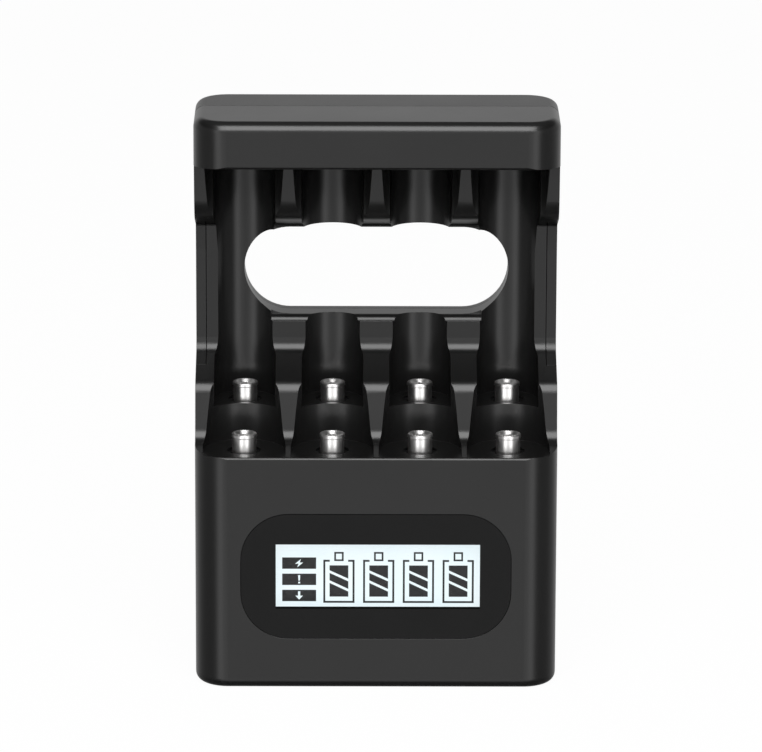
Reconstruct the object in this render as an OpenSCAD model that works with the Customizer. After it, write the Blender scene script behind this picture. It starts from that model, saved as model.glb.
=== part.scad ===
/* [Case] */
// Width across the four bays
case_w = 66; // [65.4:0.2:80]
// Thickness from the front face to the back face
case_t = 27; // [26.4:0.1:32]
// Length from the bottom end to the top end
case_l = 105.7; // [105.4:0.1:112]
// Radius of the long edges
edge_r = 6; // [4:0.2:8]
// Radius of the edges round both ends
end_r = 1.8; // [1.2:0.1:2.6]
// Wall of both shells
wall = 1.8; // [1.5:0.1:2.2]
// Depth of the joint between the shells, from the front face
parting_d = 15; // [14:0.1:16]
// Gap between the front shell's trough and the back shell
shell_gap = 0.1; // [0.05:0.01:0.3]
// Width of the shadow line along the joint
seam_w = 0.3; // [0.2:0.05:0.5]
// Depth of the shadow line
seam_h = 0.25; // [0.15:0.05:0.4]
// Rounding of the crisp edges of base and head
edge_break = 0.5; // [0.3:0.1:0.8]

/* [Cells and bays] */
// Diameter of the large cell
aa_dia = 14.5; // [14:0.1:14.5]
// Diameter of the small cell
aaa_dia = 10.5; // [10:0.1:10.5]
// Room round a large cell
aa_room = 0.25; // [0.1:0.01:0.3]
// Room round a small cell
aaa_room = 0.37; // [0.2:0.01:0.5]
// Distance of the outer bays' middle from the sides
bay_side = 9; // [8.9:0.05:9.2]
// Number of bays
bay_count = 4; // [4]
// Depth of the large cell's axis
aa_axis_d = 5.5; // [4.5:0.1:6]
// Depth of the small cell's axis
aaa_axis_d = 16.8; // [16:0.1:17.2]

/* [Base and head] */
// Height of the base, up to the floor of the large bays
base_h = 43.8; // [43:0.1:45]
// Height of the head
head_h = 8.5; // [8.2:0.1:10]
// Thickness of the bay floors and of the head's floor
floor_t = 2; // [1.6:0.1:2.4]
// Height of the small cell's shelf above the large bay's floor
shelf_rise = 6.8; // [6:0.1:7.4]

/* [Cradle profile] */
// Slope of the lower tread
low_tread_slope = 8.5; // [4:0.5:12]
// Depth of the lower riser's foot
low_riser_d = 7.7; // [7.6:0.05:8.2]
// Lean of the lower riser
low_riser_lean = 11.2; // [8:0.1:14]
// Height of the lower nose above the bay floor
low_nose_rise = 11.1; // [10:0.1:12]
// Slope of the ramp to the deep face
ramp_slope = 26; // [22:0.5:28]
// Depth of the deep riser's foot
deep_riser_d = 18.2; // [17.8:0.1:18.6]
// Lean of the deep riser
deep_riser_lean = 10.4; // [6:0.1:12]
// Depth of the deep face
deep_d = 19.4; // [19:0.1:19.8]
// Distance of the deep face's bend below the head
bend_drop = 19.2; // [18:0.1:20]
// Lean of the deep face above its bend
bend_lean = 8.4; // [6:0.1:10]
// Distance of the upper nose below the head
top_nose_drop = 10.9; // [10.2:0.1:11]
// Depth of the upper nose
top_nose_d = 9.45; // [9.2:0.05:9.8]
// Slope of the upper ramp
top_ramp_slope = 20.2; // [16:0.1:24]
// Lean of the riser under the head
top_riser_lean = 9.7; // [8:0.1:11]
// Draft of the head's underside
hood_draft = 4; // [2:0.5:6]
// Radius at the foot of the lower riser
low_root_r = 2.8; // [2.6:0.1:2.8]
// Radius of the lower nose
low_nose_r = 3; // [2.6:0.1:3.2]
// Radius at the foot of the deep riser
deep_root_r = 2.4; // [1.6:0.1:2.8]
// Radius of the upper nose
top_nose_r = 5.5; // [4:0.1:6]
// Radius in the upper corners
top_root_r = 0.6; // [0.4:0.1:0.8]

/* [Finger hole] */
// Distance of the finger hole's round ends from the sides
hole_side = 8.8; // [8.8:0.1:11]
// Height of the hole's lower edge above the bay floor
hole_rise = 21.7; // [21.5:0.1:22.6]
// Distance of the hole's upper edge below the head
hole_drop = 14.8; // [14.6:0.1:15.6]
// Rounding of the hole's rim on the ribs
hole_rim_r = 1.2; // [0.8:0.1:1.4]
// Reach of the rounded rim past the outer bays' straight walls
rim_lap = 0.9; // [0.8:0.1:1]

/* [Plungers] */
// Diameter of the plunger's body
plunger_dia = 4.35; // [4:0.05:4.6]
// Diameter of the plunger's rim
plunger_rim_dia = 4.6; // [4.3:0.05:4.7]
// Height of the rim
plunger_rim_h = 0.6; // [0.4:0.1:1]
// Depth of the dish in the plunger's top
dish_h = 0.5; // [0.3:0.1:0.8]
// Height of a plunger above its floor
plunger_proud = 3.2; // [3:0.1:4]
// Diameter of the plunger's flange
flange_dia = 6.2; // [5.8:0.1:6.6]
// Thickness of the plunger's flange
flange_t = 1; // [0.8:0.1:1.4]
// Travel of a plunger
plunger_travel = 2.5; // [2:0.1:2.8]
// Gap round the rim in its bore
bore_gap = 0.05; // [0.03:0.01:0.1]
// Gap round the flange in its guide
guide_gap = 0.05; // [0.03:0.01:0.1]
// Gap between the flange and the floor that stops it
stop_gap = 0.05; // [0.03:0.01:0.1]
// Wall of the guide tubes
guide_wall = 0.9; // [0.8:0.1:1.2]
// Width of the sunk ring round a plunger's foot
sink_w = 0.75; // [0.5:0.05:1]
// Depth of the sunk ring
sink_h = 0.5; // [0.3:0.1:0.8]

/* [Springs] */
// Outer diameter of the springs
spring_dia = 5.4; // [4.8:0.1:5.6]
// Diameter of the spring wire
spring_wire = 0.45; // [0.35:0.05:0.5]
// Turns of a spring
spring_turns = 6.5; // [5.5:0.5:7.5]
// Length of a spring between its board and its flange
spring_l = 8.2; // [7.8:0.1:8.6]

/* [Display] */
// Distance of the lens from the sides
lens_side = 8.425; // [8:0.025:10]
// Height of the lens
lens_h = 23.45; // [22:0.05:24]
// Corner radius of the lens
lens_r = 8.7; // [6:0.1:10]
// Thickness of the lens
lens_t = 1.2; // [1:0.1:1.4]
// Gap round the lens
lens_gap = 0.1; // [0.05:0.01:0.2]
// Thickness of the seat behind the lens
seat_t = 1.4; // [1:0.1:1.6]
// Lap of the display glass on the seat at the sides
glass_side_lap = 1.1; // [0.8:0.1:2]
// Lap of the display glass on the seat above and below
glass_end_lap = 1.25; // [0.8:0.05:2]
// Gap between the display glass and the standoffs beside it
glass_side_gap = 0.1; // [0.1:0.05:0.5]
// Gap between the display glass and the contact board above it
glass_top_gap = 1.85; // [1.5:0.05:2.2]
// Height of the display glass
glass_h = 15.4; // [14:0.1:16]
// Thickness of the display glass
glass_t = 1.8; // [1.4:0.1:2.2]
// Thickness of the light guide
guide_t = 2.4; // [2:0.1:3]

/* [Boards] */
// Thickness of both boards
board_t = 1.6; // [1:0.1:1.6]
// Gap between the main board and the screw bosses beside it
main_gap = 0.8; // [0.6:0.1:1.2]
// Height of the main board's lower edge
main_z = 3; // [2.4:0.1:3.4]
// Gap between the contact board and the lens seat
board_gap = 0.15; // [0.1:0.05:0.3]
// Width of the rails that carry the contact board
rail_w = 1.6; // [1.4:0.1:2.4]
// Height of the rails
rail_h = 1.8; // [1.4:0.1:2.4]
// Distance of the board screws from the board's sides
board_screw_inset = 2; // [1.8:0.1:2.2]
// Distance of the lower board screws from the board's lower edge
board_screw_rise = 2.5; // [2:0.1:3]
// Distance of the upper board screws below the contact board
board_screw_drop = 3.35; // [3:0.05:4]
// Diameter of the standoffs
standoff_dia = 3.4; // [3:0.1:3.6]

/* [Power inlet] */
// Width of the inlet's shell
inlet_w = 8.94; // [8.94]
// Height of the inlet's shell
inlet_h = 3.26; // [3.26]
// Length of the inlet's shell
inlet_l = 7.3; // [6.6:0.1:8]
// Sheet thickness of the inlet's shell
inlet_sheet = 0.3; // [0.2:0.05:0.4]
// Height of the inlet's mouth above the bottom end
inlet_z = 0.3; // [0.2:0.1:0.8]
// Gap round the inlet in the end wall
inlet_gap = 0.25; // [0.15:0.05:0.4]
// Width of the inlet's tongue
tongue_w = 6.7; // [6.2:0.1:6.9]
// Thickness of the inlet's tongue
tongue_t = 0.7; // [0.6:0.05:0.8]
// Length of the inlet's tongue
tongue_l = 4.4; // [4:0.1:4.8]
// Thickness of the block behind the tongue
inlet_block_t = 1.4; // [1:0.1:1.8]

/* [Head contacts] */
// Width of a contact plate
contact_plate_w = 5; // [4:0.1:5.4]
// Thickness of the contact strip
strip_t = 0.4; // [0.3:0.05:0.5]
// Width of the strip behind the bays
strip_w = 1.2; // [1:0.1:1.3]
// Distance between two strips on one side
strip_step = 1.6; // [1.5:0.1:1.7]
// Wall between the finger hole and the nearest strip
strip_wall = 1.3; // [1.1:0.1:1.5]
// Gap round a strip in its channel and slot
strip_gap = 0.2; // [0.1:0.05:0.3]
// Diameter of the raised contact spot
spot_dia = 2.6; // [2:0.1:3.4]
// Height of the raised contact spot
spot_h = 0.25; // [0.15:0.05:0.4]
// Depth of the plate's front edge
plate_d = 3; // [2.4:0.1:3.6]

/* [Screws] */
// Diameter of the case screws' shank
screw_dia = 2.4; // [2:0.1:2.6]
// Diameter of the case screws' head
screw_head_dia = 4.2; // [3.8:0.1:4.4]
// Height of the case screws' head
screw_head_h = 1.7; // [1.4:0.1:2]
// Length of the case screws' shank
screw_l = 12; // [9:0.5:14]
// Depth of the screw heads' seat below the back face
screw_sink = 7; // [6:0.1:8]
// Gap round a screw
screw_gap = 0.05; // [0.03:0.01:0.1]
// Gap round a screw's head
screw_head_gap = 0.2; // [0.1:0.05:0.3]
// Wall of the screw bosses
boss_wall = 1.5; // [1.2:0.1:1.6]
// Distance of the base screws from the sides
base_screw_inset = 5.5; // [5.2:0.1:5.8]
// Height of the base screws
base_screw_z = 6.5; // [6.2:0.1:7]
// Distance of the head screw below the top end
head_screw_drop = 4.25; // [4.2:0.05:4.6]
// Diameter of the board screws' shank
board_screw_dia = 1.6; // [1.4:0.1:1.8]
// Diameter of the board screws' head
board_screw_head_dia = 3; // [2.6:0.1:3.2]
// Height of the board screws' head
board_screw_head_h = 1; // [0.8:0.1:1.2]
// Length of the board screws' shank
board_screw_l = 5; // [4.4:0.1:5.2]
// Share of a screw head's width that its cross recess spans
cross_span = 0.6; // [0.5:0.05:0.7]
// Share of a screw head's width that one arm of the cross takes
cross_arm = 0.15; // [0.1:0.01:0.2]

/* [Board components] */
// Length of the connector between the boards
connector_w = 20; // [16:1:24]
// Height of the connector between the boards
connector_h = 2.5; // [2:0.1:3]
// Distance of the controller's middle below the contact board
chip_drop = 15.45; // [15:0.05:16]
// Length of the controller's body
chip_w = 9.9; // [9:0.1:11]
// Width of the controller's body
chip_h = 3.9; // [3.5:0.1:4.5]
// Thickness of the controller's body
chip_t = 1.5; // [1:0.1:2]
// Pins on one side of the controller
chip_pins = 8; // [6:1:8]
// Distance from pin to pin
chip_pin_step = 1.27; // [1:0.01:1.27]
// Width of a pin
chip_pin_w = 0.4; // [0.3:0.05:0.5]
// Span of the controller over its pins
chip_span = 6; // [5.6:0.1:6.4]
// Distance of the transistors' lower edge below the contact board
transistor_drop = 8.95; // [8:0.05:10]
// Width of a transistor
transistor_w = 5; // [4:0.1:6]
// Height of a transistor
transistor_h = 4.4; // [4:0.1:5]
// Thickness of a transistor
transistor_t = 2.2; // [1.8:0.1:2.6]
// Distance from transistor to transistor
transistor_step = 9; // [8:0.1:10]
// Distance of the inductor from the middle
inductor_x = 13; // [12:0.1:14]
// Height of the inductor
inductor_z = 11; // [10:0.1:12]
// Diameter of the inductor
inductor_dia = 7; // [6:0.1:8]
// Length of the inductor
inductor_t = 4.5; // [4:0.1:5]
// Distance of the first capacitor from the middle
capacitor_x = 11; // [10:0.1:12]
// Height of the capacitors
capacitor_z = 10; // [9:0.1:11]
// Diameter of a capacitor
capacitor_dia = 5; // [4:0.1:5.6]
// Length of a capacitor
capacitor_t = 5.4; // [5:0.1:6]
// Distance from capacitor to capacitor
capacitor_step = 6; // [5.8:0.1:7]

/* [Hidden] */
$fn = 48;
cut = 1;
least_r = 0.2;

aa_r = aa_dia / 2 + aa_room;
aaa_r = aaa_dia / 2 + aaa_room;
bay_pitch = (case_w - 2 * bay_side) / (bay_count - 1);
bay_x = [for (i = [0 : bay_count - 1]) (i - (bay_count - 1) / 2) * bay_pitch];
hood_z = case_l - head_h;
head_floor_z = hood_z + floor_t;
roof_z = base_h - floor_t;
shelf_z = base_h + shelf_rise;
back_d = case_t - wall - shell_gap;
hole_l = case_w - 2 * hole_side;
hole_low = base_h + hole_rise;
hole_high = hood_z - hole_drop;
hole_h = hole_high - hole_low;
hole_z = (hole_low + hole_high) / 2;

bore_dia = plunger_rim_dia + 2 * bore_gap;
guide_dia = flange_dia + 2 * guide_gap;
guide_tube_dia = guide_dia + 2 * guide_wall;
flange_z = roof_z - stop_gap - flange_t;
guide_z = flange_z - plunger_travel - guide_wall;
sink_dia = bore_dia + 2 * sink_w;
spring_z = flange_z - spring_l;
contact_board_z = spring_z - board_t;
strip_d = back_d - 2 * strip_t;

boss_dia = screw_dia + 2 * boss_wall;
base_screw_x = case_w / 2 - base_screw_inset;
main_w = 2 * (base_screw_x - boss_dia / 2 - main_gap);
board_screw_x = main_w / 2 - board_screw_inset;
glass_w = 2 * (board_screw_x - standoff_dia / 2 - glass_side_gap);
window_w = glass_w - 2 * glass_side_lap;
window_h = glass_h - 2 * glass_end_lap;
lens_w = case_w - 2 * lens_side;
lens_z = contact_board_z - glass_top_gap - glass_h / 2;
glass_d = lens_t + seat_t;
contact_board_d = glass_d + board_gap;
main_d = glass_d + glass_t + guide_t;
main_back_d = main_d + board_t;
inlet_d = main_back_d + inlet_h / 2;

// Depth is measured from the front face; the frame's origin lies under the middle of the case
module place() translate([0, -case_t / 2, 0]) children();

// Point where two lines meet, each given by a point and an angle
function meet(p, a, q, b) =
    let (u = [cos(a), sin(a)], v = [cos(b), sin(b)])
    p + u * cross(q - p, v) / cross(u, v);

function unit(v) = v / norm(v);

// Rounding of radius r at the corner b between a and c: where it starts, where it ends, and its centre
function rounding(a, b, c, r) =
    let (u = unit(a - b), v = unit(c - b), half = acos(u * v) / 2)
    [b + u * r / tan(half), b + v * r / tan(half), b + unit(u + v) * r / sin(half)];

// Corners of the cradle's side profile, as depth and height
base_edge = [0, base_h];
low_root = meet(base_edge, low_tread_slope, [low_riser_d, base_h], 90 - low_riser_lean);
low_nose = meet(low_root, 90 - low_riser_lean, [0, base_h + low_nose_rise], 0);
deep_root = meet(low_nose, ramp_slope, [deep_riser_d, base_h + low_nose_rise], 90 - deep_riser_lean);
deep_top = meet(deep_root, 90 - deep_riser_lean, [deep_d, 0], 90);
bend = [deep_d, hood_z - bend_drop];
top_nose = [top_nose_d, hood_z - top_nose_drop];
top_root = meet(bend, 90 + bend_lean, top_nose, -top_ramp_slope);
hood_edge = [0, hood_z];
hood_root = meet(hood_edge, -hood_draft, top_nose, 90 + top_riser_lean);

// The profile from the front of the base to the front of the head, with the radius of each corner
profile = [[0, 0], base_edge, low_root, low_nose, deep_root, deep_top, bend, top_root, top_nose, hood_root,
           hood_edge, [0, case_l]];
profile_r = [0, edge_break, low_root_r, low_nose_r, deep_root_r, 0, 0, top_root_r, top_nose_r, top_root_r,
             edge_break, 0];
corners = [1 : len(profile) - 2];
function round_at(i) = rounding(profile[i - 1], profile[i], profile[i + 1], profile_r[i]);
function is_edge(i) = cross(profile[i] - profile[i - 1], profile[i + 1] - profile[i]) < 0;

module round_corners(edges)
    for (i = corners)
        if (profile_r[i] > 0 && is_edge(i) == edges) translate(round_at(i)[2]) circle(profile_r[i]);

// The room in front of the cradle: its side profile right across the case
module cradle_cut() {
    points = [for (i = corners) each profile_r[i] > 0 ? [round_at(i)[0], round_at(i)[1]] : [profile[i]]];
    translate([-case_w / 2 - cut, 0, 0]) rotate([90, 0, 90]) linear_extrude(case_w + 2 * cut) difference() {
        union() {
            polygon(concat([[-cut, points[0].y]], points, [[-cut, points[len(points) - 1].y]]));
            round_corners(false);
        }
        round_corners(true);
    }
}

// Outline of the case in section, inset on all sides
module rounded_outline(w, h, r) {
    square([w - 2 * r, h], center = true);
    square([w, h - 2 * r], center = true);
    for (x = [-1, 1], y = [-1, 1]) translate([x * (w / 2 - r), y * (h / 2 - r)]) circle(r);
}

// The case's outer form, inset on all sides: slabs and quarter columns that meet face to face
module case_form(inset) {
    w = case_w - 2 * inset;
    t = case_t - 2 * inset;
    l = case_l - 2 * inset;
    r = edge_r - inset;
    e = max(end_r - inset, least_r);
    translate([0, case_t / 2, inset]) {
        translate([-(w / 2 - r), 0, 0]) rotate([90, 0, 90]) linear_extrude(w - 2 * r)
            translate([0, l / 2]) rounded_outline(t, l, e);
        for (side = [0, 1]) mirror([side, 0, 0]) {
            translate([w / 2 - r, t / 2 - r, 0]) rotate([90, 0, 0]) linear_extrude(t - 2 * r)
                end_profile(r, l, e);
            for (face = [0, 1]) mirror([0, face, 0])
                translate([w / 2 - r, t / 2 - r, 0]) rotate_extrude(angle = 90) end_profile(r, l, e);
        }
    }
}

// Half section of a long edge, with both ends rounded
module end_profile(r, l, e) {
    square([r - e, l]);
    translate([0, e]) square([r, l - 2 * e]);
    for (z = [e, l - e]) translate([r - e, z]) circle(e);
}

module slab(z0, z1, d0, d1)
    translate([-case_w / 2 - cut, d0, z0]) cube([case_w + 2 * cut, d1 - d0, z1 - z0]);

// A round hole or boss along the depth
module along_depth(x, z, d0, d1, dia)
    translate([x, d0, z]) rotate([-90, 0, 0]) cylinder(d = dia, h = d1 - d0);

// A channel for a cell: half round at the back, straight walls to the front
module channel(r, axis_d, z0, z1) {
    translate([0, axis_d, z0]) cylinder(r = r, h = z1 - z0);
    translate([-r, -cut, z0]) cube([2 * r, axis_d + cut, z1 - z0]);
}

module bays()
    for (x = bay_x) translate([x, 0, 0]) {
        channel(aa_r, aa_axis_d, base_h, hood_root.y);
        channel(aaa_r, aaa_axis_d, shelf_z, hood_root.y);
    }

// A slot with full round ends
module stadium(w, h) {
    square([w - h, h], center = true);
    for (side = [-1, 1]) translate([side * (w - h) / 2, 0]) circle(d = h);
}

module finger_hole(d0, d1)
    translate([0, d1, hole_z]) rotate([90, 0, 0]) linear_extrude(d1 - d0) stadium(hole_l, hole_h);

// Rounding of the hole's lower and upper rim on the ribs
module hole_rim() {
    low = meet(deep_root, 90 - deep_riser_lean, [0, hole_low], 0);
    high = below(meet(bend, 90 + bend_lean, [0, hole_high], 0));
    high_r = min(hole_rim_r, (top_root.y - hole_high) / 3);
    rim_cut(rounding(deep_root, low, low + [case_t, 0], hole_rim_r), low, hole_rim_r);
    translate([0, 0, 2 * hole_z]) mirror([0, 0, 1])
        rim_cut(rounding(below(top_root), high, high + [case_t, 0], high_r), high, high_r);
}

// A point of the profile turned over about the hole's middle
function below(p) = [p.x, 2 * hole_z - p.y];

// What a rounded lower rim loses at its corner, as far as the walls of the outer bays
module rim_cut(round, corner, r) {
    reach = 3 / 2 * bay_pitch - aaa_r + rim_lap;
    translate([-reach, 0, 0]) rotate([90, 0, 90]) linear_extrude(2 * reach) rim_section(round, corner, r);
}

module rim_section(round, corner, r) difference() {
    polygon([round[0], round[1], [round[1].x, corner.y + cut], [corner.x - cut, corner.y + cut],
             [corner.x - cut, round[0].y]]);
    translate(round[2]) circle(r);
}

// The step in the back shell's edge that draws a shadow line along the joint
module seam()
    translate([0, parting_d + seam_w, case_l / 2]) rotate([90, 0, 0]) linear_extrude(seam_w + cut)
        difference() {
            square([case_w + 2 * cut, case_l + 2 * cut], center = true);
            rounded_outline(case_w - 2 * seam_h, case_l - 2 * seam_h, end_r - seam_h);
        }

module display_outline(grow) rounded_outline(lens_w + 2 * grow, lens_h + 2 * grow, lens_r + grow);

// A plate parallel to the front face, drawn in width and height about the display's middle
module on_display(d0, d1) translate([0, d1, lens_z]) rotate([90, 0, 0]) linear_extrude(d1 - d0) children();

board_screws_at = [for (x = [-1, 1], z = [main_z + board_screw_rise, contact_board_z - board_screw_drop])
    [x * board_screw_x, z]];
case_screws_at = [[-base_screw_x, base_screw_z], [base_screw_x, base_screw_z], [0, case_l - head_screw_drop]];
head_hole_dia = screw_head_dia + 2 * screw_head_gap;
back_boss_dia = head_hole_dia + boss_wall;
screw_seat_d = case_t - screw_sink;

function inner_bay(i) = abs(bay_x[i]) < bay_pitch;

// Place across the width of the strip that serves each bay
function strip_at(i) =
    sign(bay_x[i]) * (hole_l / 2 + strip_wall + strip_gap + strip_w / 2 + (inner_bay(i) ? strip_step : 0));

// Height of the run in the head that joins each strip to its bay
function run_z(i) = head_floor_z + strip_gap + (inner_bay(i) ? strip_w + strip_gap : 0);

module front_shell() color("#303132") place() difference() {
    union() {
        difference() {
            union() {
                intersection() {
                    case_form(0);
                    slab(-cut, case_l + cut, -cut, parting_d);
                }
                intersection() {
                    case_form(wall + shell_gap);
                    slab(roof_z, head_floor_z, parting_d - cut, case_t);
                }
            }
            cradle_cut();
            bays();
            intersection() {
                case_form(wall);
                union() {
                    slab(-cut, roof_z, -cut, case_t);
                    slab(head_floor_z, case_l + cut, -cut, case_t);
                }
            }
            shelf_pocket();
            finger_hole(parting_d, case_t);
            hole_rim();
        }
        intersection() {
            case_form(wall / 2);
            front_fittings();
        }
    }
    front_bores();
    strip_channels();
    on_display(-cut, lens_t) display_outline(lens_gap);
    on_display(lens_t - cut, glass_d + cut) square([window_w, window_h], center = true);
    translate([0, inlet_d, -cut]) linear_extrude(wall + 2 * cut)
        stadium(inlet_w + 2 * inlet_gap, inlet_h + 2 * inlet_gap);
}

// The hollow under the small cells' shelf, with the guide tubes left standing
module shelf_pocket() {
    pocket_d = aa_axis_d + aa_r + floor_t;
    difference() {
        translate([-bay_x[bay_count - 1] - aaa_r + floor_t, pocket_d, roof_z - cut])
            cube([2 * (bay_x[bay_count - 1] + aaa_r - floor_t), strip_d - strip_gap - floor_t - pocket_d,
                  shelf_z - floor_t - roof_z + cut]);
        for (x = bay_x) translate([x, aaa_axis_d, roof_z - 2 * cut])
            cylinder(d = guide_tube_dia, h = shelf_z - roof_z);
    }
}

// Guide tubes, screw bosses, standoffs, the lens seat and the rails of the contact board
module front_fittings() {
    for (x = bay_x, d = [aa_axis_d, aaa_axis_d]) translate([x, d, guide_z])
        cylinder(d = guide_tube_dia, h = roof_z + floor_t / 2 - guide_z);
    for (at = case_screws_at) along_depth(at.x, at.y, wall / 2, parting_d, boss_dia);
    for (at = board_screws_at) along_depth(at.x, at.y, wall / 2, main_d, standoff_dia);
    on_display(wall / 2, glass_d) display_outline(wall / 2);
    for (side = [0, 1]) mirror([side, 0, 0])
        translate([case_w / 2 - wall - rail_w, wall / 2, contact_board_z - rail_h])
            cube([rail_w + wall / 2, parting_d - wall / 2, rail_h]);
}

module front_bores() {
    for (x = bay_x) {
        for (at = [[aa_axis_d, base_h], [aaa_axis_d, shelf_z]]) translate([x, at.x, 0]) {
            translate([0, 0, guide_z - cut]) cylinder(d = guide_dia, h = roof_z - guide_z + cut);
            translate([0, 0, roof_z - cut]) cylinder(d = bore_dia, h = at.y - roof_z + 2 * cut);
            translate([0, 0, at.y - sink_h]) cylinder(d = sink_dia, h = sink_h + cut);
        }
    }
    for (at = case_screws_at) {
        along_depth(at.x, at.y, screw_seat_d - screw_l, parting_d + cut, screw_dia + 2 * screw_gap);
        along_depth(at.x, at.y, parting_d, case_t, back_boss_dia + 2 * shell_gap);
    }
    for (at = board_screws_at)
        along_depth(at.x, at.y, main_back_d - board_screw_l, main_d + cut, board_screw_dia + 2 * screw_gap);
}

// Channels behind the bays for the contact strips, and the slots that let their plates into the bays
module strip_channels()
    for (i = [0 : bay_count - 1]) {
        translate([strip_at(i) - strip_w / 2 - strip_gap, strip_d - strip_gap, roof_z - cut])
            cube([strip_w + 2 * strip_gap, case_t, head_floor_z - roof_z + 2 * cut]);
        translate([bay_x[i] - contact_plate_w / 2 - strip_gap, plate_d - strip_gap, hood_root.y - strip_gap])
            cube([contact_plate_w + 2 * strip_gap, case_t, strip_t + strip_gap]);
        translate([bay_x[i] - contact_plate_w / 2 - strip_gap, strip_d - strip_gap, hood_root.y])
            cube([contact_plate_w + 2 * strip_gap, case_t, head_floor_z - hood_root.y + cut]);
    }

module back_shell() color("#2c2d2e") place() difference() {
    union() {
        difference() {
            intersection() {
                case_form(0);
                slab(-cut, case_l + cut, parting_d, case_t + cut);
            }
            case_form(wall);
            cradle_cut();
            finger_hole(parting_d, case_t + cut);
            seam();
        }
        intersection() {
            case_form(wall / 2);
            for (at = case_screws_at) along_depth(at.x, at.y, parting_d, case_t - wall / 2, back_boss_dia);
        }
    }
    for (at = case_screws_at) {
        along_depth(at.x, at.y, parting_d - cut, case_t, screw_dia + 2 * screw_gap);
        along_depth(at.x, at.y, screw_seat_d, case_t + cut, head_hole_dia);
    }
}

module display_lens() color("#242526") place() on_display(0, lens_t) display_outline(0);

module display_glass() color("#e6eef4") place()
    on_display(glass_d, glass_d + glass_t) square([glass_w, glass_h], center = true);

module light_guide() color("#f4f6f8") place()
    on_display(glass_d + glass_t, main_d) square([glass_w, glass_h], center = true);

module main_board() color("#1f5a38") place() difference() {
    translate([-main_w / 2, main_d, main_z]) cube([main_w, board_t, contact_board_z - main_z]);
    for (at = board_screws_at)
        along_depth(at.x, at.y, main_d - cut, main_back_d + cut, board_screw_dia + 2 * screw_gap);
}

module contact_board() color("#23603c") place() intersection() {
    case_form(wall + shell_gap);
    slab(contact_board_z, contact_board_z + board_t, contact_board_d, strip_d);
}

module board_connector() color("#1c1c1c") place()
    translate([-connector_w / 2, main_back_d, contact_board_z - connector_h])
        cube([connector_w, connector_h, connector_h]);

module charge_controller() color("#202124") place() translate([0, main_back_d, contact_board_z - chip_drop]) {
    translate([-chip_w / 2, 0, -chip_h / 2]) cube([chip_w, chip_t, chip_h]);
    for (i = [0 : chip_pins - 1])
        translate([(i - (chip_pins - 1) / 2) * chip_pin_step - chip_pin_w / 2, 0, -chip_span / 2])
            cube([chip_pin_w, chip_pin_w / 2, chip_span]);
}

module charge_transistors() color("#26272a") place()
    for (i = [0 : bay_count - 1])
        translate([(i - (bay_count - 1) / 2) * transistor_step - transistor_w / 2, main_back_d,
                   contact_board_z - transistor_drop])
            cube([transistor_w, transistor_t, transistor_h]);

module inductor() color("#3a3a3c") place()
    along_depth(-inductor_x, inductor_z, main_back_d, main_back_d + inductor_t, inductor_dia);

module capacitors() color("#46484c") place()
    for (i = [0, 1])
        along_depth(capacitor_x + i * capacitor_step, capacitor_z,
                    main_back_d, main_back_d + capacitor_t, capacitor_dia);

module inlet_outline(inset) stadium(inlet_w - 2 * inset, inlet_h - 2 * inset);

module inlet_shell() color("#b9bcc0") place() translate([0, inlet_d, inlet_z])
    linear_extrude(inlet_l) difference() {
        inlet_outline(0);
        inlet_outline(inlet_sheet);
    }

module inlet_tongue() color("#18191a") place() translate([0, inlet_d, inlet_z + inlet_l - inlet_block_t]) {
    linear_extrude(inlet_block_t) inlet_outline(inlet_sheet);
    translate([-tongue_w / 2, -tongue_t / 2, -tongue_l]) cube([tongue_w, tongue_t, tongue_l]);
}

// Screws lie along the depth with their heads to the back
module screw(at, seat_d, dia, length, head_dia, head_h) {
    along_depth(at.x, at.y, seat_d - length, seat_d, dia);
    difference() {
        along_depth(at.x, at.y, seat_d, seat_d + head_h, head_dia);
        translate([at.x, seat_d + head_h, at.y])
            for (turn = [0, 90]) rotate([0, turn, 0])
                cube([head_dia * cross_span, head_h, head_dia * cross_arm], center = true);
    }
}

module case_screws() color("#8d9095") place()
    for (at = case_screws_at) screw(at, screw_seat_d, screw_dia, screw_l, screw_head_dia, screw_head_h);

module board_screws() color("#a2a5a9") place()
    for (at = board_screws_at)
        screw(at, main_back_d, board_screw_dia, board_screw_l, board_screw_head_dia, board_screw_head_h);

// A turned plunger: flange, body, rim and dished top
module plunger(floor_z) color("#c9ccd0") {
    top = floor_z + plunger_proud;
    neck = plunger_dia / 2;
    rim = plunger_rim_dia / 2;
    rotate_extrude() polygon([
        [0, flange_z], [flange_dia / 2, flange_z], [flange_dia / 2, flange_z + flange_t],
        [neck, flange_z + flange_t], [neck, top - plunger_rim_h - (rim - neck)],
        [rim, top - plunger_rim_h], [rim, top - (rim - neck)],
        [neck, top], [rim - dish_h, top], [rim - 2 * dish_h, top - dish_h], [0, top - dish_h]]);
}

module aa_plunger(i) place() translate([bay_x[i], aa_axis_d, 0]) plunger(base_h);

module aaa_plunger(i) place() translate([bay_x[i], aaa_axis_d, 0]) plunger(shelf_z);

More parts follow.
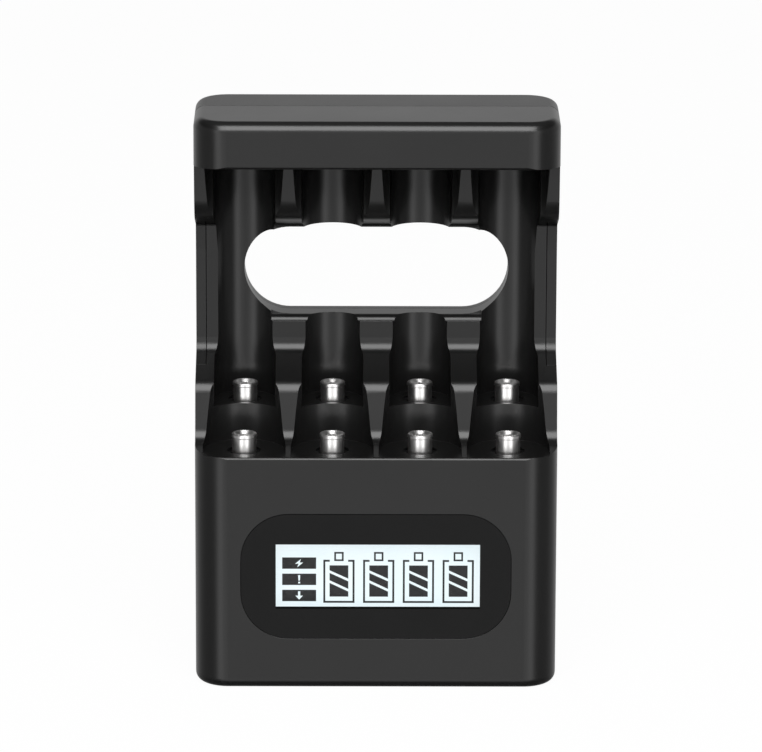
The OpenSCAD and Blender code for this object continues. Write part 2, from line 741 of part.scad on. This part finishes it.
// A coil spring swept ring by ring, with one closed turn at each end
coil_sides = 6;
coil_steps = 10;
closed_pitch = 1.2;
module coil_spring() {
    rings = spring_turns * coil_steps;
    open_l = spring_l - spring_wire - 2 * closed_pitch * spring_wire;
    function height(turn) = spring_wire / 2
        + closed_pitch * spring_wire * (min(turn, 1) + max(turn - spring_turns + 1, 0))
        + open_l * min(max(turn - 1, 0), spring_turns - 2) / (spring_turns - 2);
    points = [for (k = [0 : rings]) let (a = 360 * k / coil_steps, z = height(k / coil_steps))
        for (s = [0 : coil_sides - 1]) let (b = 360 * s / coil_sides,
                r = (spring_dia - spring_wire) / 2 + spring_wire / 2 * cos(b))
            [r * cos(a), r * sin(a), z + spring_wire / 2 * sin(b)]];
    sides = [for (k = [0 : rings - 1], s = [0 : coil_sides - 1])
        let (p = k * coil_sides + s, q = k * coil_sides + (s + 1) % coil_sides)
        [p, q, q + coil_sides, p + coil_sides]];
    ends = [[for (s = [coil_sides - 1 : -1 : 0]) s], [for (s = [0 : coil_sides - 1]) rings * coil_sides + s]];
    polyhedron(points, concat(sides, ends), convexity = 6);
}

module aa_spring(i) color("#b4b7bb") place() translate([bay_x[i], aa_axis_d, spring_z]) coil_spring();

module aaa_spring(i) color("#b4b7bb") place() translate([bay_x[i], aaa_axis_d, spring_z]) coil_spring();

// A bent strip: a plate under the head, a riser into the head, a run across it and a leg down to the board
module head_contact(i) color("#c2c5c9") place() {
    x = bay_x[i];
    leg_x = strip_at(i);
    plate_z = hood_root.y;
    z = run_z(i);
    translate([x - contact_plate_w / 2, plate_d, plate_z])
        cube([contact_plate_w, strip_d + strip_t - plate_d, strip_t]);
    for (d = [aa_axis_d, aaa_axis_d]) translate([x, d, plate_z - spot_h])
        cylinder(d1 = spot_dia / 2, d2 = spot_dia, h = spot_h);
    translate([x - contact_plate_w / 2, strip_d, plate_z])
        cube([contact_plate_w, strip_t, z + strip_w - plate_z]);
    translate([min(x, leg_x - strip_w / 2), strip_d, z])
        cube([abs(leg_x - x) + strip_w / 2, strip_t, strip_w]);
    translate([leg_x - strip_w / 2, strip_d, contact_board_z])
        cube([strip_w, strip_t, z + strip_w - contact_board_z]);
}

front_shell();
back_shell();
display_lens();
display_glass();
light_guide();
main_board();
contact_board();
board_connector();
charge_controller();
charge_transistors();
inductor();
capacitors();
inlet_shell();
inlet_tongue();
case_screws();
board_screws();
for (i = [0 : bay_count - 1]) {
    aa_plunger(i);
    aaa_plunger(i);
    aa_spring(i);
    aaa_spring(i);
    head_contact(i);
}
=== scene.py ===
import math

import bpy
from mathutils import Matrix, Vector


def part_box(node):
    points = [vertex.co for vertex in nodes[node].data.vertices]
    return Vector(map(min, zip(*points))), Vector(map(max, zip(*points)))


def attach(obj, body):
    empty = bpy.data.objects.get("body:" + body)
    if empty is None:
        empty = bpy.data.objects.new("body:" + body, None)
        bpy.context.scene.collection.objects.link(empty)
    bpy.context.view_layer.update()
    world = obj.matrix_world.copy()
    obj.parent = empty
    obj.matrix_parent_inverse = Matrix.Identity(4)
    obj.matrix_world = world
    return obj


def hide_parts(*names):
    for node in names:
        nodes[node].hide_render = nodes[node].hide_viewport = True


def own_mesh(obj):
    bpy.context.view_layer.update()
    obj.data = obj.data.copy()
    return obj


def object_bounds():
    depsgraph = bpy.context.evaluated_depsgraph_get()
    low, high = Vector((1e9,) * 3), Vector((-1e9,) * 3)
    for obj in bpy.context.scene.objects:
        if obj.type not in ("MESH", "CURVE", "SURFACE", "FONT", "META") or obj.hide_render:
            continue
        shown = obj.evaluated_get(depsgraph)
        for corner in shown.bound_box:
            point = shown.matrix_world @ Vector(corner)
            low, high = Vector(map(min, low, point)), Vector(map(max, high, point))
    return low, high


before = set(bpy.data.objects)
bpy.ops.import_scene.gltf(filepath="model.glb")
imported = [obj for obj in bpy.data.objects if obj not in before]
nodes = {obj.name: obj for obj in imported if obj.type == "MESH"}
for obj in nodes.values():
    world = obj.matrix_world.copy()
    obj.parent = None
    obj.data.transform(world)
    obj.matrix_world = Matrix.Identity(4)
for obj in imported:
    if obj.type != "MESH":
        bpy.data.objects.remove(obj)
cad_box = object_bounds()

# Shells: two black mouldings, the front one with base, head and the four stepped bays, the rear one a tray.
# Both moulds are eroded to a fine satin grain; the halves are screwed together from behind.
mm = 0.001
cloud_size = 16 * mm
grain_size = 0.16 * mm
grain_depth = 0.004 * mm
edge_softness = 0.12 * mm


class Value:
    """One output of a shader node, ready for sums."""

    def __init__(self, finish, socket):
        self.finish = finish
        self.socket = socket

    def sum(self, operation, first, second=0.0):
        return self.finish.node("Math", {"operation": operation}, {0: first, 1: second})

    def __add__(self, other):
        return self.sum("ADD", self, other)

    def __radd__(self, other):
        return self.sum("ADD", other, self)

    def __sub__(self, other):
        return self.sum("SUBTRACT", self, other)

    def __rsub__(self, other):
        return self.sum("SUBTRACT", other, self)

    def __mul__(self, other):
        return self.sum("MULTIPLY", self, other)

    def __rmul__(self, other):
        return self.sum("MULTIPLY", other, self)

    def __truediv__(self, other):
        return self.sum("DIVIDE", self, other)

    def __lt__(self, other):
        return self.sum("LESS_THAN", self, other)

    def __gt__(self, other):
        return self.sum("GREATER_THAN", self, other)

    def __abs__(self):
        return self.sum("ABSOLUTE", self)

    def fraction(self):
        return self.sum("FRACT", self)


class Shader:
    """A tree of shader nodes, made one by one."""

    def __init__(self, owner, coordinate):
        owner.use_nodes = True
        self.nodes = owner.node_tree.nodes
        self.links = owner.node_tree.links
        self.point = self.node("TexCoord", output=coordinate)

    def node(self, kind, settings=None, inputs=None, output=0):
        made = self.nodes.new("ShaderNode" + kind)
        for key, value in (settings or {}).items():
            if key == "stops":
                made.color_ramp.elements[0].position = value[0][0]
                made.color_ramp.elements[1].position = value[-1][0]
                for position, _ in value[1:-1]:
                    made.color_ramp.elements.new(position)
                for element, (_, level) in zip(made.color_ramp.elements, value):
                    element.color = grey(level)
            else:
                setattr(made, key, value)
        for key, value in (inputs or {}).items():
            self.feed(made.inputs[key], value)
        return Value(self, made.outputs[output])

    def feed(self, socket, value):
        if isinstance(value, Value):
            self.links.new(value.socket, socket)
        else:
            socket.default_value = value

    def axes(self):
        return [self.node("SeparateXYZ", None, {0: self.point}, output=i) for i in range(3)]


class Finish(Shader):
    """A material on the standard surface shader."""

    def __init__(self, name):
        self.material = bpy.data.materials.new(name)
        super().__init__(self.material, "Object")
        self.surface = self.nodes["Principled BSDF"]

    def noise(self, size, detail=2.0, stretch=(1.0, 1.0, 1.0)):
        point = self.node("VectorMath", {"operation": "DIVIDE"}, {0: self.point, 1: stretch})
        return self.node("TexNoise", None, {"Vector": point, "Scale": 1 / size, "Detail": detail})

    def mixed(self, share, first, second):
        return self.node("Mix", {"data_type": "RGBA"}, {0: share, 6: first, 7: second}, output=2)

    def bumps(self, height, depth, **more):
        return self.node("Bump", None, {"Height": height, "Distance": depth, **more})

    def wear(self, settings):
        for key, value in settings.items():
            self.feed(self.surface.inputs[key], value)
        return self


def grey(level, warmth=0.0):
    return (level * (1 + warmth), level, level * (1 - warmth), 1.0)


def dress(finish, *pieces):
    for piece in pieces:
        for slot in piece.material_slots:
            slot.material = finish.material


def satin_plastic(name, dark, light, rough):
    finish = Finish(name)
    clouds = finish.noise(cloud_size, 3.0)
    grain = finish.noise(grain_size, 1.0)
    softened = finish.node("Bevel", {"samples": 6}, {"Radius": edge_softness})
    return finish.wear({
        "Base Color": finish.mixed(clouds, grey(dark, 0.01), grey(light, 0.01)),
        "Roughness": rough + 0.05 * clouds + 0.04 * grain,
        "Specular IOR Level": 0.5,
        "Normal": finish.bumps(grain, grain_depth, Strength=0.35, Normal=softened),
    })


dress(satin_plastic("satin_black_front", 0.0045, 0.0060, 0.25), nodes["front_shell"])
dress(satin_plastic("satin_black_back", 0.0040, 0.0052, 0.29), nodes["back_shell"])

# Display lens: a flush acrylic panel, printed black on its back but for a clear window over the display.
# It is die cut with large round corners and pressed into the seat in the base with thin tape.
window_w = 37.2 * mm
window_h = 12.15 * mm
window_x = 0.35 * mm
clearness = 0.96
haze_size = 9 * mm
ripple_size = 5 * mm
ripple_depth = 0.01 * mm
lens_low, lens_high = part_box("display_lens")
display_z = (lens_low.z + lens_high.z) / 2

lens = Finish("printed_acrylic")
across, _, up = lens.axes()
clear = (abs(across - window_x) < window_w / 2) * (abs(up - display_z) < window_h / 2)
haze = lens.noise(haze_size)
lens.wear({
    "Base Color": lens.mixed(haze, grey(0.0040), grey(0.0050)),
    "Roughness": 0.16 + 0.05 * haze,
    "Specular IOR Level": 0.2,
    "Alpha": 1 - clearness * clear,
    "Normal": lens.bumps(lens.noise(ripple_size), ripple_depth, Strength=0.1),
})
dress(lens, nodes["display_lens"])

# Display: a sandwich of two thin glass plates, pale and lit from behind, with its signs as dark segments.
# It lies loose in the seat behind the lens; four cell signs stand beside three sign boxes.
glass_low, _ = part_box("display_glass")
segment_h = 0.02 * mm
tint_size = 11 * mm
fade_size = 4 * mm

glass = Finish("display_glass")
tint = glass.noise(tint_size, 1.0)
glow = glass.mixed(tint, (0.78, 0.93, 0.98, 1.0), (0.92, 0.985, 1.0, 1.0))
glass.wear({
    "Base Color": glass.mixed(tint, (0.12, 0.14, 0.15, 1.0), (0.15, 0.17, 0.18, 1.0)),
    "Roughness": 0.22 + 0.05 * tint,
    "Emission Color": glow,
    "Emission Strength": 0.93,
})
dress(glass, nodes["display_glass"])


def segments(name, loops):
    """Flat display segments from closed outlines in millimetres; an outline inside another is a hole."""
    curve = bpy.data.curves.new(name, "CURVE")
    curve.dimensions = "2D"
    curve.fill_mode = "BOTH"
    curve.extrude = segment_h / 2
    for loop in loops:
        spline = curve.splines.new("POLY")
        spline.points.add(len(loop) - 1)
        spline.use_cyclic_u = True
        for point, (x, z) in zip(spline.points, loop):
            point.co = (x * mm, z * mm, 0, 1)
    drawn = bpy.data.objects.new(name + "_outline", curve)
    bpy.context.scene.collection.objects.link(drawn)
    mesh = bpy.data.meshes.new_from_object(drawn.evaluated_get(bpy.context.evaluated_depsgraph_get()))
    bpy.data.objects.remove(drawn)
    on_glass = Matrix.Translation((0, glass_low.y - segment_h / 2, 0))
    mesh.transform(on_glass @ Matrix.Rotation(math.pi / 2, 4, "X"))
    piece = bpy.data.objects.new(name, mesh)
    mesh.materials.clear()
    mesh.materials.append(ink.material)
    bpy.context.scene.collection.objects.link(piece)
    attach(piece, "housing")


ink = Finish("display_ink")
fade = ink.noise(fade_size)
ink.wear({
    "Base Color": ink.mixed(fade, (0.026, 0.027, 0.028, 1.0), (0.032, 0.033, 0.034, 1.0)),
    "Roughness": 0.42 + 0.1 * fade,
    "Specular IOR Level": 0.2,
})


def rectangle(x, z, w, h):
    return [(x - w / 2, z - h / 2), (x + w / 2, z - h / 2), (x + w / 2, z + h / 2), (x - w / 2, z + h / 2)]


def moved(loop, x, z):
    return [(px + x, pz + z) for px, pz in loop]


bolt = [(0.35, 0.8), (-0.75, -0.12), (-0.1, -0.12), (-0.35, -0.8), (0.75, 0.12), (0.1, 0.12)]
call_bar = [(-0.2, 0.8), (0.2, 0.8), (0.13, -0.25), (-0.13, -0.25)]
call_dot = rectangle(0, -0.62, 0.36, 0.32)
arrow = [(-0.2, 0.8), (0.2, 0.8), (0.2, -0.02), (0.7, -0.02), (0, -0.8), (-0.7, -0.02), (-0.2, -0.02)]
label_w, label_h, label_step = 6.2, 2.17, 3.08
label_x, label_z = -14.0, 20.12
labels = []
for row, signs in zip((1, 0, -1), ([bolt], [call_bar, call_dot], [arrow])):
    z = label_z + row * label_step
    labels.append(rectangle(label_x, z, label_w, label_h))
    labels.extend(moved(sign, label_x, z) for sign in signs)
segments("display_sign_boxes", labels)

cell_w, cell_h, cell_line, cell_return = 5.7, 8.18, 0.36, 1.18
cell_x, cell_z, cell_step = -6.74, 15.66, 7.257
nub, nub_line, nub_z = 1.72, 0.32, 24.47
charge_w, charge_low, charge_high = 3.42, 1.18, 7.13
stripe_h = 0.25
stripes = [(5.94, 4.35), (4.04, 2.40)]


def open_frame(x):
    """A cell's outline, open at the top where its terminal stands."""
    side, inner, back = cell_w / 2, cell_w / 2 - cell_line, cell_w / 2 - cell_return
    top, under = cell_h, cell_h - cell_line
    half = [(back, under), (back, top), (side, top), (side, 0)]
    inside = [(-inner, cell_line), (-inner, under), (-back, under)]
    loop = half + [(-px, pz) for px, pz in reversed(half)][:-1] + list(reversed(inside))
    return moved(loop + [(inner, cell_line), (inner, under)], x, cell_z)


def charge(x):
    """The filled body of a cell, cut by two slanting stripes."""
    left, right = -charge_w / 2, charge_w / 2
    edges = [(charge_high, charge_high)]
    for at_left, at_right in stripes:
        edges += [(at_left + stripe_h, at_right + stripe_h), (at_left - stripe_h, at_right - stripe_h)]
    edges.append((charge_low, charge_low))
    for (top_l, top_r), (low_l, low_r) in zip(edges[0::2], edges[1::2]):
        yield moved([(left, low_l), (right, low_r), (right, top_r), (left, top_l)], x, cell_z)


cells = []
for i in range(4):
    x = cell_x + i * cell_step
    cells.append(open_frame(x))
    cells.append(rectangle(x, nub_z, nub, nub))
    cells.append(rectangle(x, nub_z, nub - 2 * nub_line, nub - 2 * nub_line))
    cells.extend(charge(x))
segments("display_cell_signs", cells)

# Light guide: a clear acrylic slab behind the display, its back printed with white dots
# that let the light out. It is held between the display and the main board.
dot_step = 0.9 * mm
dot_share = 0.28
guide = Finish("dotted_acrylic")
dots = guide.node("TexVoronoi", None, {"Vector": guide.point, "Scale": 1 / dot_step, "Randomness": 0.1})
printed = dots < dot_share
guide.wear({
    "Base Color": guide.mixed(printed, (0.70, 0.74, 0.76, 1.0), (0.92, 0.93, 0.94, 1.0)),
    "Roughness": 0.12 + 0.5 * printed,
    "Emission Color": guide.mixed(printed, (0.5, 0.6, 0.65, 1.0), (0.9, 0.97, 1.0, 1.0)),
    "Emission Strength": 0.4,
})
dress(guide, nodes["light_guide"])

# Boards: glass-fibre laminate with etched copper under a green mask, routed to outline and drilled.
# The main board is screwed to the front shell, and the contact board lies across its upper edge.
track_step = 1.27 * mm
track_share = 0.34
track_depth = 0.035 * mm
reach_size = 5 * mm
reach_stretch = 4.0
reach_level = 0.48
weave_size = 0.5 * mm


def etched_board(name, along, across):
    finish = Finish(name)
    axes = finish.axes()
    lane = abs((axes[across] / track_step).fraction() - 0.5) < track_share / 2
    stretch = tuple(reach_stretch if i == along else 1.0 for i in range(3))
    reach = finish.noise(reach_size, 1.0, stretch) > reach_level
    track = lane * reach
    weave = finish.noise(weave_size, 0.0)
    return finish.wear({
        "Base Color": finish.mixed(
            track,
            finish.mixed(weave, (0.008, 0.075, 0.032, 1.0), (0.010, 0.092, 0.040, 1.0)),
            (0.030, 0.180, 0.070, 1.0)),
        "Roughness": 0.30 + 0.12 * weave,
        "Normal": finish.bumps(track + 0.2 * weave, track_depth, Strength=0.6),
    })


dress(etched_board("green_main_board", 2, 0), nodes["main_board"])
dress(etched_board("green_contact_board", 0, 1), nodes["contact_board"])

# Board connector: a black moulded block that carries the current between the two boards.
# It is soldered to the main board and butts against the contact board.
pin_step = 2.0 * mm
pin_share = 0.4
pin_depth = 0.05 * mm
speck_size = 0.3 * mm
block = Finish("connector_nylon")
along, _, _ = block.axes()
# Pin cavities: pressed in by the bump, and painted darker than the block as painted shade in the holes.
shaded_cavity = abs((along / pin_step).fraction() - 0.5) < pin_share / 2
speck = block.noise(speck_size)
block.wear({
    "Base Color": block.mixed(shaded_cavity, grey(0.022), grey(0.008)),
    "Roughness": 0.5 + 0.15 * speck,
    "Normal": block.bumps(speck - shaded_cavity, pin_depth, Strength=0.5),
})
dress(block, nodes["board_connector"])

# Charge controller and charge transistors: moulded epoxy packages, the controller with tinned legs.
# They are soldered flat on the back of the main board.
chip_low, chip_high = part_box("charge_controller")
leg_reach = 1.05 * mm
sand_size = 0.12 * mm
sand_depth = 0.006 * mm


def epoxy(name, legs=None):
    finish = Finish(name)
    sand = finish.noise(sand_size, 1.0)
    if legs is None:
        tinned = 0.0
    else:
        _, _, height = finish.axes()
        tinned = abs(height - (chip_low.z + chip_high.z) / 2) > legs
    return finish.wear({
        "Base Color": finish.mixed(tinned, grey(0.020), grey(0.62, 0.02)),
        "Metallic": tinned,
        "Roughness": 0.48 + 0.2 * sand,
        "Normal": finish.bumps(sand, sand_depth, Strength=0.5),
    })


dress(epoxy("controller_epoxy", (chip_high.z - chip_low.z) / 2 - leg_reach), nodes["charge_controller"])
dress(epoxy("transistor_epoxy"), nodes["charge_transistors"])

# Inductor: a pressed ferrite drum with its winding inside, dark grey and slightly rough.
# It is soldered on end to the main board.
crumb_size = 0.25 * mm
crumb_depth = 0.02 * mm
ferrite = Finish("pressed_ferrite")
crumb = ferrite.noise(crumb_size, 4.0)
ferrite.wear({
    "Base Color": ferrite.mixed(crumb, grey(0.035), grey(0.070, 0.03)),
    "Roughness": 0.55 + 0.25 * crumb,
    "Normal": ferrite.bumps(crumb, crumb_depth, Strength=0.5),
})
dress(ferrite, nodes["inductor"])

# Capacitors: drawn aluminium cans in a dark sleeve that leaves the top bare.
# They stand on the back of the main board, soldered by their leads.
_, can_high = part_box("capacitors")
bare_h = 0.6 * mm
draw_size = 0.4 * mm
draw_depth = 0.008 * mm
can = Finish("sleeved_can")
_, deep, _ = can.axes()
bare = deep > can_high.y - bare_h
drawn = can.noise(draw_size, 2.0, (1.0, 12.0, 1.0))
can.wear({
    "Base Color": can.mixed(bare, grey(0.018, -0.05), grey(0.66)),
    "Metallic": bare,
    "Roughness": 0.30 + 0.15 * drawn,
    "Normal": can.bumps(drawn, draw_depth, Strength=0.3),
})
dress(can, nodes["capacitors"])

# Power inlet: a rolled and nickel-plated steel shell round a black tongue with gilded contacts.
# The shell is soldered to the back of the main board, with its mouth in the bottom end of the case.
roll_size = 0.3 * mm
roll_depth = 0.006 * mm
inlet = Finish("plated_inlet_steel")
rolled = inlet.noise(roll_size, 2.0, (1.0, 1.0, 10.0))
inlet.wear({
    "Base Color": inlet.mixed(rolled, grey(0.60, 0.015), grey(0.70, 0.015)),
    "Metallic": 1.0,
    "Roughness": 0.24 + 0.12 * rolled,
    "Normal": inlet.bumps(rolled, roll_depth, Strength=0.25),
})
dress(inlet, nodes["inlet_shell"])

tongue_low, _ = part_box("inlet_tongue")
contact_step = 0.5 * mm
contact_share = 0.56
contact_h = 3.0 * mm
contact_depth = 0.02 * mm
fibre_size = 0.2 * mm
tongue = Finish("tongue_polymer")
across, _, up = tongue.axes()
gilded = (abs((across / contact_step).fraction() - 0.5) < contact_share / 2) * (up < tongue_low.z + contact_h)
fibre = tongue.noise(fibre_size)
tongue.wear({
    "Base Color": tongue.mixed(gilded, grey(0.014), (0.80, 0.52, 0.18, 1.0)),
    "Metallic": gilded,
    "Roughness": 0.34 + 0.14 * fibre,
    "Normal": tongue.bumps(fibre + gilded, contact_depth, Strength=0.4),
})
dress(tongue, nodes["inlet_tongue"])

# Springs: cold-wound nickel-plated steel wire with closed ends.
# Each stands on the contact board and lifts the flange of the plunger above it. The coil is made at the CAD
# spring's length and doesn't shorten.
wire_dia = 0.45 * mm
turns = 6.5
closed_pitch = 1.2
turn_steps, wire_sides = 24, 10
scratch_size = 0.12 * mm
scratch_depth = 0.004 * mm

wire = Finish("spring_wire")
scratches = wire.noise(scratch_size, 2.0, (1.0, 1.0, 3.0))
wire.wear({
    "Base Color": wire.mixed(scratches, grey(0.46, 0.01), grey(0.58, 0.01)),
    "Metallic": 1.0,
    "Roughness": 0.28 + 0.15 * scratches,
    "Normal": wire.bumps(scratches, scratch_depth, Strength=0.3),
})
bays = range(1, 5)
sizes = ("aa", "aaa")


def coil(node):
    """A round-wire spring in the place of a CAD spring, with one closed turn at each end."""
    low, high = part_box(node)
    length = high.z - low.z
    winding_r = (high.x - low.x - wire_dia) / 2
    foot = Vector(((low.x + high.x) / 2, (low.y + high.y) / 2, low.z))
    closed_rise = closed_pitch * wire_dia
    open_rise = (length - wire_dia - 2 * closed_rise) / (turns - 2)
    rings = round(turns * turn_steps)
    points, faces = [], []
    for k in range(rings + 1):
        turn = k / turn_steps
        closed = min(turn, 1) + max(turn - turns + 1, 0)
        z = wire_dia / 2 + closed_rise * closed + open_rise * (turn - closed)
        for side in range(wire_sides):
            angle, around_wire = math.tau * turn, math.tau * side / wire_sides
            r = winding_r + wire_dia / 2 * math.cos(around_wire)
            lift = z + wire_dia / 2 * math.sin(around_wire)
            points.append(foot + Vector((r * math.cos(angle), r * math.sin(angle), lift)))
    for k in range(rings):
        for side in range(wire_sides):
            here, beside = k * wire_sides + side, k * wire_sides + (side + 1) % wire_sides
            faces.append((here, here + wire_sides, beside + wire_sides, beside))
    faces.append(tuple(range(wire_sides)))
    faces.append(tuple(reversed(range(rings * wire_sides, (rings + 1) * wire_sides))))
    mesh = bpy.data.meshes.new(node + "_coil")
    mesh.from_pydata(points, [], faces)
    mesh.polygons.foreach_set("use_smooth", [len(face) == 4 for face in faces])
    mesh.materials.append(wire.material)
    piece = bpy.data.objects.new(node + "_coil", mesh)
    bpy.context.scene.collection.objects.link(piece)
    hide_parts(node)
    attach(piece, "housing")
    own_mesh(piece)


for size in sizes:
    for i in bays:
        dress(wire, nodes[f"{size}_spring_{i}"])
        coil(f"{size}_spring_{i}")

# Plungers: turned brass pins with a rim and a dished top, bright nickel plated.
# Each slides in its bore in the bay floor and is held in by its flange.
turning_step = 0.09 * mm
turning_depth = 0.003 * mm
smear_size = 1.2 * mm
nickel = Finish("bright_nickel")
_, _, up = nickel.axes()
rings = abs((up / turning_step).fraction() - 0.5)
smear = nickel.noise(smear_size, 2.0)
nickel.wear({
    "Base Color": nickel.mixed(smear, grey(0.90, 0.01), grey(0.95, 0.01)),
    "Metallic": 1.0,
    "Roughness": 0.27 + 0.07 * smear,
    "Normal": nickel.bumps(rings, turning_depth, Strength=0.06),
})
dress(nickel, *[nodes[f"{size}_plunger_{i}"] for size in sizes for i in bays])

# Head contacts: nickel strip, stamped and bent, with two raised spots for the cells' caps.
# Each is led through the head and down behind its bay to the contact board.
stamp_size = 0.35 * mm
stamp_depth = 0.005 * mm
strip = Finish("stamped_nickel_strip")
stamped = strip.noise(stamp_size, 3.0, (1.0, 6.0, 1.0))
strip.wear({
    "Base Color": strip.mixed(stamped, grey(0.62, 0.02), grey(0.72, 0.02)),
    "Metallic": 1.0,
    "Roughness": 0.26 + 0.14 * stamped,
    "Normal": strip.bumps(stamped, stamp_depth, Strength=0.3),
})
dress(strip, *[nodes[f"head_contact_{i}"] for i in bays])

# Screws: zinc-plated steel with cross recesses; the case screws sit deep in the back shell's bosses.
# Their threads cut their own way into the plastic.
case_thread = 0.8 * mm
board_thread = 0.5 * mm
thread_depth = 0.12 * mm
bloom_size = 0.8 * mm


def zinc(name, thread_step):
    finish = Finish(name)
    _, deep, _ = finish.axes()
    thread = abs((deep / thread_step).fraction() - 0.5)
    bloom = finish.noise(bloom_size, 3.0)
    return finish.wear({
        "Base Color": finish.mixed(bloom, (0.50, 0.52, 0.55, 1.0), (0.60, 0.60, 0.59, 1.0)),
        "Metallic": 1.0,
        "Roughness": 0.30 + 0.2 * bloom,
        "Normal": finish.bumps(thread, thread_depth, Strength=0.5),
    })


dress(zinc("case_screw_zinc", case_thread), nodes["case_screws"])
dress(zinc("board_screw_zinc", board_thread), nodes["board_screws"])

# Floor: a plain white sheet, seen as white and with a soft shadow under the case. Seen from below it is
# clear, so that it doesn't hide the bottom end, and glossy faces see the pale room through it.
floor_half = 3.0
floor_z = -0.05 * mm
whiteness = 0.97
floor_mesh = bpy.data.meshes.new("floor")
floor_mesh.from_pydata(
    [(x * floor_half, y * floor_half, floor_z) for x, y in ((-1, -1), (1, -1), (1, 1), (-1, 1))],
    [], [(0, 1, 2, 3)])
floor = bpy.data.objects.new("floor", floor_mesh)
bpy.context.scene.collection.objects.link(floor)


def seen(shader):
    """1 for rays that come from the camera, straight or through glass."""
    return shader.node("Math", {"operation": "MAXIMUM"}, {
        0: shader.node("LightPath", output="Is Camera Ray"),
        1: shader.node("LightPath", output="Is Transmission Ray")})


paper = Finish("white_paper")
paper.wear({"Base Color": grey(0.85), "Roughness": 0.9, "Specular IOR Level": 0.1})
white = paper.node("Emission", None, {"Color": grey(1.0), "Strength": 1.0})
lit = paper.node("MixShader", None, {
    0: whiteness * seen(paper), 1: Value(paper, paper.surface.outputs[0]), 2: white})
passed = paper.node("Math", {"operation": "MAXIMUM"}, {
    0: paper.node("NewGeometry", output="Backfacing"), 1: paper.node("LightPath", output="Is Glossy Ray")})
sheet = paper.node("MixShader", None, {0: passed, 1: lit, 2: paper.node("BsdfTransparent")})
paper.feed(paper.nodes["Material Output"].inputs["Surface"], sheet)
floor_mesh.materials.append(paper.material)

# Light: one wide softbox before and above the case, in a room that is pale round the horizon.
# The room has a bright strip at each side of the camera and is dim to the sides, overhead and underneath.
# The camera itself sees it as white.
middle = (cad_box[0] + cad_box[1]) / 2
box_place = (0.0, -0.65, 0.745)
box_w, box_h = 0.80, 0.84
box_radiance = 6.0
room_level = 1.75
round_the_case = [
    (0.0, 0.37), (0.10, 0.37), (0.30, 0.24), (0.50, 0.15), (0.86, 0.15), (0.895, 1.12), (0.950, 1.12),
    (0.970, 0.43), (1.0, 0.43)]
bottom_to_top = [
    (0.0, 0.32), (0.20, 0.38), (0.25, 0.55), (0.35, 1.0), (0.65, 1.0), (0.74, 0.07), (0.82, 0.09),
    (0.96, 0.50)]


def softbox(name, place, width, height, radiance):
    lamp = bpy.data.lights.new(name, "AREA")
    lamp.shape = "RECTANGLE"
    lamp.size, lamp.size_y = width, height
    lamp.energy = radiance * math.pi * width * height
    holder = bpy.data.objects.new(name, lamp)
    holder.location = place
    holder.rotation_euler = (middle - Vector(place)).to_track_quat("-Z", "Y").to_euler()
    bpy.context.scene.collection.objects.link(holder)


softbox("front_box", box_place, box_w, box_h, box_radiance)

world = bpy.data.worlds.new("studio")
bpy.context.scene.world = world
room = Shader(world, "Generated")
_, away, up = room.axes()
around = room.node("ValToRGB", {"stops": round_the_case}, {0: 0.5 - 0.5 * away})
height = room.node("ValToRGB", {"stops": bottom_to_top}, {0: 0.5 + 0.5 * up})
room.feed(room.nodes["Background"].inputs["Color"], around * height)
room.feed(room.nodes["Background"].inputs["Strength"], room_level)
backdrop = room.node("Background", None, {"Color": grey(1.0), "Strength": 1.0})
shown = room.node("MixShader", None, {
    0: seen(room), 1: Value(room, room.nodes["Background"].outputs[0]), 2: backdrop})
room.feed(room.nodes["World Output"].inputs["Surface"], shown)

# Camera: a long lens a metre away, a little above the case and turned very slightly aside.
# Its place follows from how the case's edges lie in the picture.
picture_w = 762
sensor_w = 36.0
focal_px = 5800.6
distance = 1060 * mm
aim = Vector((0.87, -0.5, 55.79)) * mm
elevation, turn, roll = (math.radians(a) for a in (14.6, 0.28, 0.188))
ahead = Vector((math.sin(turn), math.cos(turn), -math.tan(elevation))) * math.cos(elevation)
level = Vector((math.cos(turn), -math.sin(turn), 0))
upright = level.cross(ahead)
right = math.cos(roll) * level + math.sin(roll) * upright
top = math.cos(roll) * upright - math.sin(roll) * level
camera_data = bpy.data.cameras.new("camera")
camera_data.sensor_fit = "HORIZONTAL"
camera_data.sensor_width = sensor_w
camera_data.lens = sensor_w * focal_px / picture_w
camera = bpy.data.objects.new("camera", camera_data)
axes = Matrix((right, top, -ahead)).transposed().to_4x4()
camera.matrix_world = Matrix.Translation(aim - distance * ahead) @ axes
bpy.context.scene.collection.objects.link(camera)
bpy.context.scene.camera = camera
bpy.context.scene.view_settings.view_transform = "Standard"
